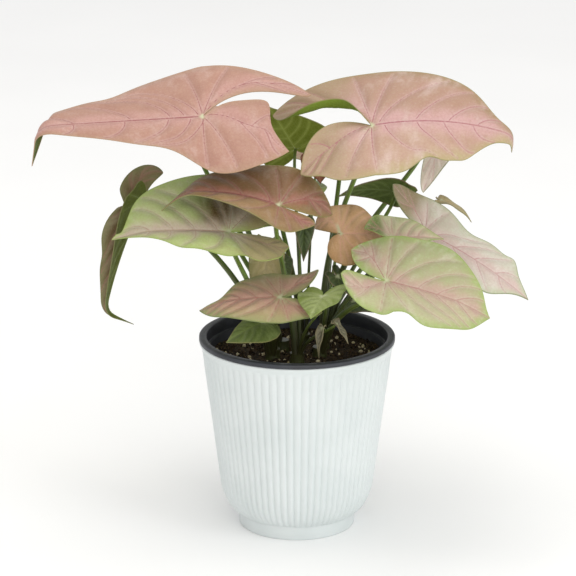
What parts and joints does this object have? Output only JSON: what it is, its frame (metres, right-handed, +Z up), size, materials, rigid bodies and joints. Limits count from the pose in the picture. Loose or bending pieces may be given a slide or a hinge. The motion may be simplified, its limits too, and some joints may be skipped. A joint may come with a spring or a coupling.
{
  "type": "potted pink arrowhead plant",
  "caption": "Bushy pink and green arrowhead plant with arrow-shaped leaves on thin stalks, in a black nursery pot inside a white ribbed cover pot.",
  "frame": {"origin": "centre of the cover pot's flat underside", "axes": "+Z up along the pots' axis, -Y towards the pictured front, +X to the right seen from the front"},
  "size_m": [0.3257, 0.2542, 0.3088],
  "materials": {
    "pink_leaf": "satin",
    "lime_leaf": "satin",
    "green_leaf": "satin",
    "withered_leaf": "matte",
    "stalk": "satin",
    "potting_mix": "matte",
    "nursery_pot": "satin",
    "cover_pot": "satin"
  },
  "bodies": {
    "root": {"leaf_01": "pink_leaf", "leaf_02": "pink_leaf", "leaf_03": "pink_leaf", "leaf_04": "lime_leaf", "leaf_05": "pink_leaf", "leaf_06": "pink_leaf", "leaf_07": "lime_leaf", "leaf_08": "pink_leaf", "leaf_09": "pink_leaf", "leaf_10": "lime_leaf", "leaf_11": "green_leaf", "leaf_12": "green_leaf", "leaf_13": "pink_leaf", "leaf_14": "pink_leaf", "leaf_15": "green_leaf", "leaf_16": "lime_leaf", "leaf_17": "green_leaf", "leaf_18": "green_leaf", "leaf_19": "green_leaf", "leaf_20": "green_leaf", "leaf_21": "pink_leaf", "leaf_22": "pink_leaf", "leaf_23": "lime_leaf", "leaf_24": "lime_leaf", "leaf_25": "pink_leaf", "leaf_26": "green_leaf", "leaf_27": "green_leaf", "withered_leaf_1": "withered_leaf", "withered_leaf_2": "withered_leaf", "shoot_left": "stalk", "shoot_front": "stalk", "shoot_right": "stalk", "shoot_left_back": "stalk", "shoot_back": "stalk", "shoot_right_back": "stalk", "soil": "potting_mix", "pot_liner": "nursery_pot", "pot_cover": "cover_pot"}
  },
  "joints": []
}
